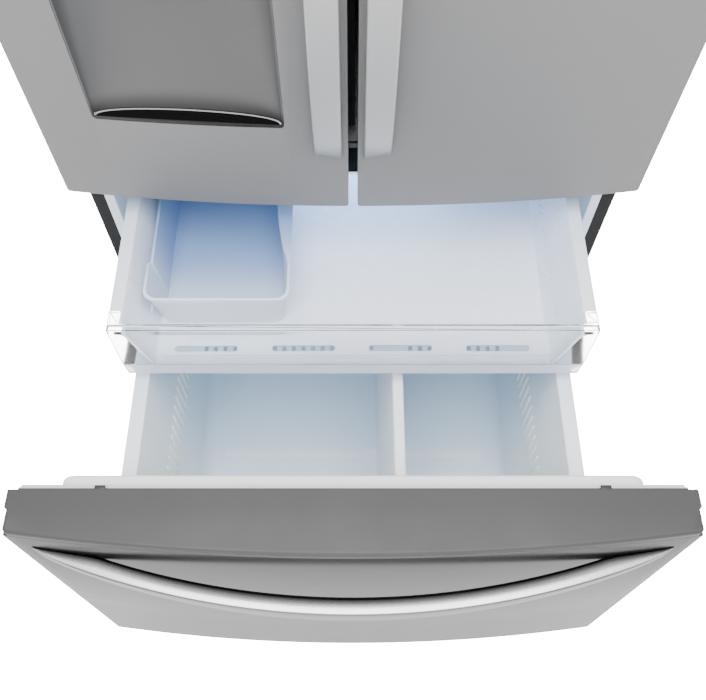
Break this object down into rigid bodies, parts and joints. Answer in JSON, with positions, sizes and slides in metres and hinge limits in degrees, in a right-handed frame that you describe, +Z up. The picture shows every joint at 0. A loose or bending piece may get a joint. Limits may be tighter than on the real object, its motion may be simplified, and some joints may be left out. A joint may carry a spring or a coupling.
{
  "type": "french door refrigerator",
  "caption": "Two-door refrigerator over a full-width freezer drawer, with an outside dispenser in the left door, bowed fronts and bar handles; doors, drawer, tray and bins move.",
  "frame": {"origin": "on the floor at the centre of the bounding box, with the freezer drawer pulled out as at rest", "axes": "+Z up, along the tallest extent; +X to the viewer's right when facing the doors, along the width and shortest extent; the doors face -Y"},
  "size_m": [0.908, 1.464, 1.785],
  "materials": {
    "stainless": "satin",
    "handle_steel": "polished",
    "case_paint": "satin",
    "galvanised": "satin",
    "hinge_steel": "satin",
    "slide_steel": "satin",
    "liner_white": "satin",
    "bin_white": "satin",
    "ice_white": "satin",
    "clear_plastic": "gloss",
    "shelf_glass": "gloss",
    "gasket_grey": "matte",
    "flap_grey": "satin",
    "trim_grey": "satin",
    "dispenser_grey": "satin",
    "dispenser_black": "gloss",
    "machine_black": "satin",
    "roller_black": "matte"
  },
  "bodies": {
    "cabinet": {"cabinet_case": "case_paint", "rear_panel": "galvanised", "base_pan": "galvanised", "front_foot_left": "roller_black", "front_foot_right": "roller_black", "toe_grille": "trim_grey", "centre_rail": "case_paint", "fridge_liner": "liner_white", "freezer_liner": "liner_white", "fridge_duct_panel": "liner_white", "freezer_duct_panel": "liner_white", "glass_shelf": "shelf_glass", "crisper_shelf": "shelf_glass", "compressor": "machine_black", "condenser_coil": "machine_black", "machine_cover": "trim_grey", "power_inlet": "roller_black", "top_hinge_left": "hinge_steel", "top_hinge_right": "hinge_steel", "hinge_cover_left": "trim_grey", "hinge_cover_right": "trim_grey", "middle_hinge_left": "hinge_steel", "middle_hinge_right": "hinge_steel", "rail_outer_left": "slide_steel", "rail_outer_right": "slide_steel"},
    "left_door": {"left_door_shell": "stainless", "left_door_liner": "liner_white", "left_door_gasket": "gasket_grey", "left_door_handle": "handle_steel", "dispenser_housing": "dispenser_grey", "dispenser_panel": "dispenser_black", "drip_tray": "dispenser_black", "dispenser_spout": "dispenser_black", "ice_room": "liner_white"},
    "flap": {"mullion_flap": "flap_grey"},
    "paddle": {"dispenser_paddle": "dispenser_black"},
    "right_door": {"right_door_shell": "stainless", "right_door_liner": "liner_white", "right_door_gasket": "gasket_grey", "right_door_handle": "handle_steel", "right_bin_lower": "clear_plastic", "right_bin_upper": "clear_plastic"},
    "left_crisper": {"crisper_left": "clear_plastic"},
    "right_crisper": {"crisper_right": "clear_plastic"},
    "drawer": {"drawer_shell": "stainless", "drawer_liner": "liner_white", "drawer_gasket": "gasket_grey", "drawer_handle": "handle_steel", "lower_bin": "bin_white", "rail_inner_left": "slide_steel", "rail_inner_right": "slide_steel"},
    "divider": {"bin_divider": "bin_white"},
    "rail_middles": {"rail_middle_left": "slide_steel", "rail_middle_right": "slide_steel"},
    "tray": {"tray_body": "bin_white", "tray_front": "clear_plastic"},
    "ice": {"ice_bin": "ice_white"},
    "fan": {"condenser_fan": "trim_grey"},
    "left_roller": {"rear_roller_left": "roller_black"},
    "right_roller": {"rear_roller_right": "roller_black"}
  },
  "joints": [
    {"name": "left_door_hinge", "type": "hinge", "parent": "cabinet", "child": "left_door", "pos_m": [-0.434, -0.0618, 0.7223], "axis": [0, 0, -1], "range_deg": [0, 115]},
    {"name": "mullion_flap_hinge", "type": "hinge", "parent": "left_door", "child": "flap", "pos_m": [-0.045, -0.0102, 0.795], "axis": [0, 0, 1], "range_deg": [0, 80]},
    {"name": "dispenser_paddle_pivot", "type": "hinge", "parent": "left_door", "child": "paddle", "pos_m": [-0.231, -0.0748, 1.222], "axis": [1, 0, 0], "range_deg": [0, 14], "stiffness_Nm_per_rad": 0.8},
    {"name": "right_door_hinge", "type": "hinge", "parent": "cabinet", "child": "right_door", "pos_m": [0.434, -0.0618, 0.7223], "axis": [0, 0, 1], "range_deg": [0, 115]},
    {"name": "crisper_left_runner", "type": "slide", "parent": "cabinet", "child": "left_crisper", "axis": [0, -1, 0], "range_m": [0, 0.3]},
    {"name": "crisper_right_runner", "type": "slide", "parent": "cabinet", "child": "right_crisper", "axis": [0, -1, 0], "range_m": [0, 0.3]},
    {"name": "freezer_drawer_slide", "type": "slide", "parent": "cabinet", "child": "drawer", "axis": [0, -1, 0], "range_m": [-0.5522, 0]},
    {"name": "rail_middles_slide", "type": "slide", "parent": "cabinet", "child": "rail_middles", "axis": [0, -1, 0], "range_m": [-0.2765, 0]},
    {"name": "freezer_tray_slide", "type": "slide", "parent": "cabinet", "child": "tray", "axis": [0, -1, 0], "range_m": [-0.365, 0]},
    {"name": "ice_bin_slide", "type": "slide", "parent": "tray", "child": "ice", "axis": [0, -1, 0], "range_m": [-0.05, 0.04]},
    {"name": "bin_divider_slide", "type": "slide", "parent": "drawer", "child": "divider", "axis": [1, 0, 0], "range_m": [-0.12, 0.12]},
    {"name": "condenser_fan_shaft", "type": "hinge", "parent": "cabinet", "child": "fan", "pos_m": [0.04, 0.582, 0.15], "axis": [0, 1, 0], "continuous": true},
    {"name": "rear_roller_left_axle", "type": "hinge", "parent": "cabinet", "child": "left_roller", "pos_m": [-0.38, 0.622, 0.021], "axis": [1, 0, 0], "continuous": true},
    {"name": "rear_roller_right_axle", "type": "hinge", "parent": "cabinet", "child": "right_roller", "pos_m": [0.38, 0.622, 0.021], "axis": [1, 0, 0], "continuous": true}
  ],
  "couplings": [
    {"joint": "mullion_flap_hinge", "follows": "left_door_hinge", "ratio": 0.69},
    {"joint": "crisper_left_runner", "follows": "left_door_hinge", "m_per_rad": 0.148},
    {"joint": "crisper_right_runner", "follows": "right_door_hinge", "m_per_rad": 0.148},
    {"joint": "rail_middles_slide", "follows": "freezer_drawer_slide", "ratio": 0.5},
    {"joint": "freezer_tray_slide", "follows": "freezer_drawer_slide", "ratio": 0.66}
  ]
}
